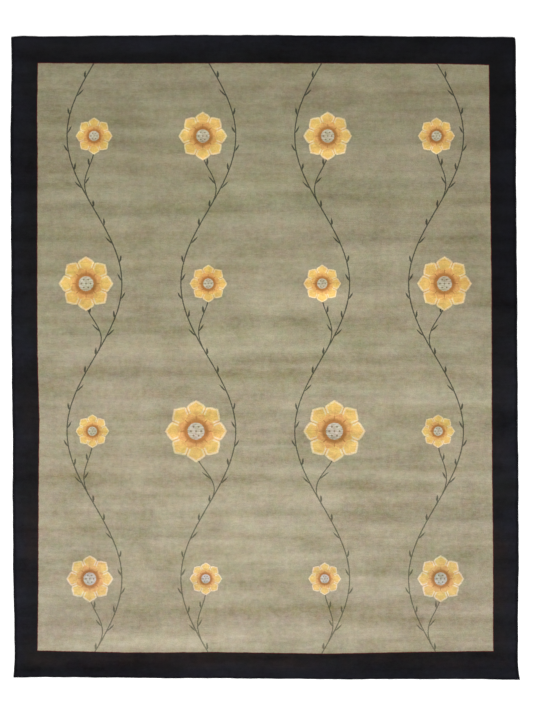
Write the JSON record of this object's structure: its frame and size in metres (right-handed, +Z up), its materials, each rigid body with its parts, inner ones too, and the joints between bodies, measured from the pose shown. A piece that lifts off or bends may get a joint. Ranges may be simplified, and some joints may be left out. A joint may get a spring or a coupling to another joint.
{
  "type": "tibetan rug",
  "caption": "Flat hand-knotted wool rug with a khaki-sage field, a dark border, wrapped selvedges and turned-under ends.",
  "frame": {"origin": "on the floor, under the middle of the rug's box", "axes": "+X across the rug, +Y along its length towards the far end, +Z up out of the pile"},
  "size_m": [2.4184, 3.06, 0.0138],
  "materials": {
    "wool_pile": "matt knotted wool pile, khaki-sage field and blue-black border"
  },
  "bodies": {
    "root": {"rug": "wool_pile"}
  },
  "joints": []
}
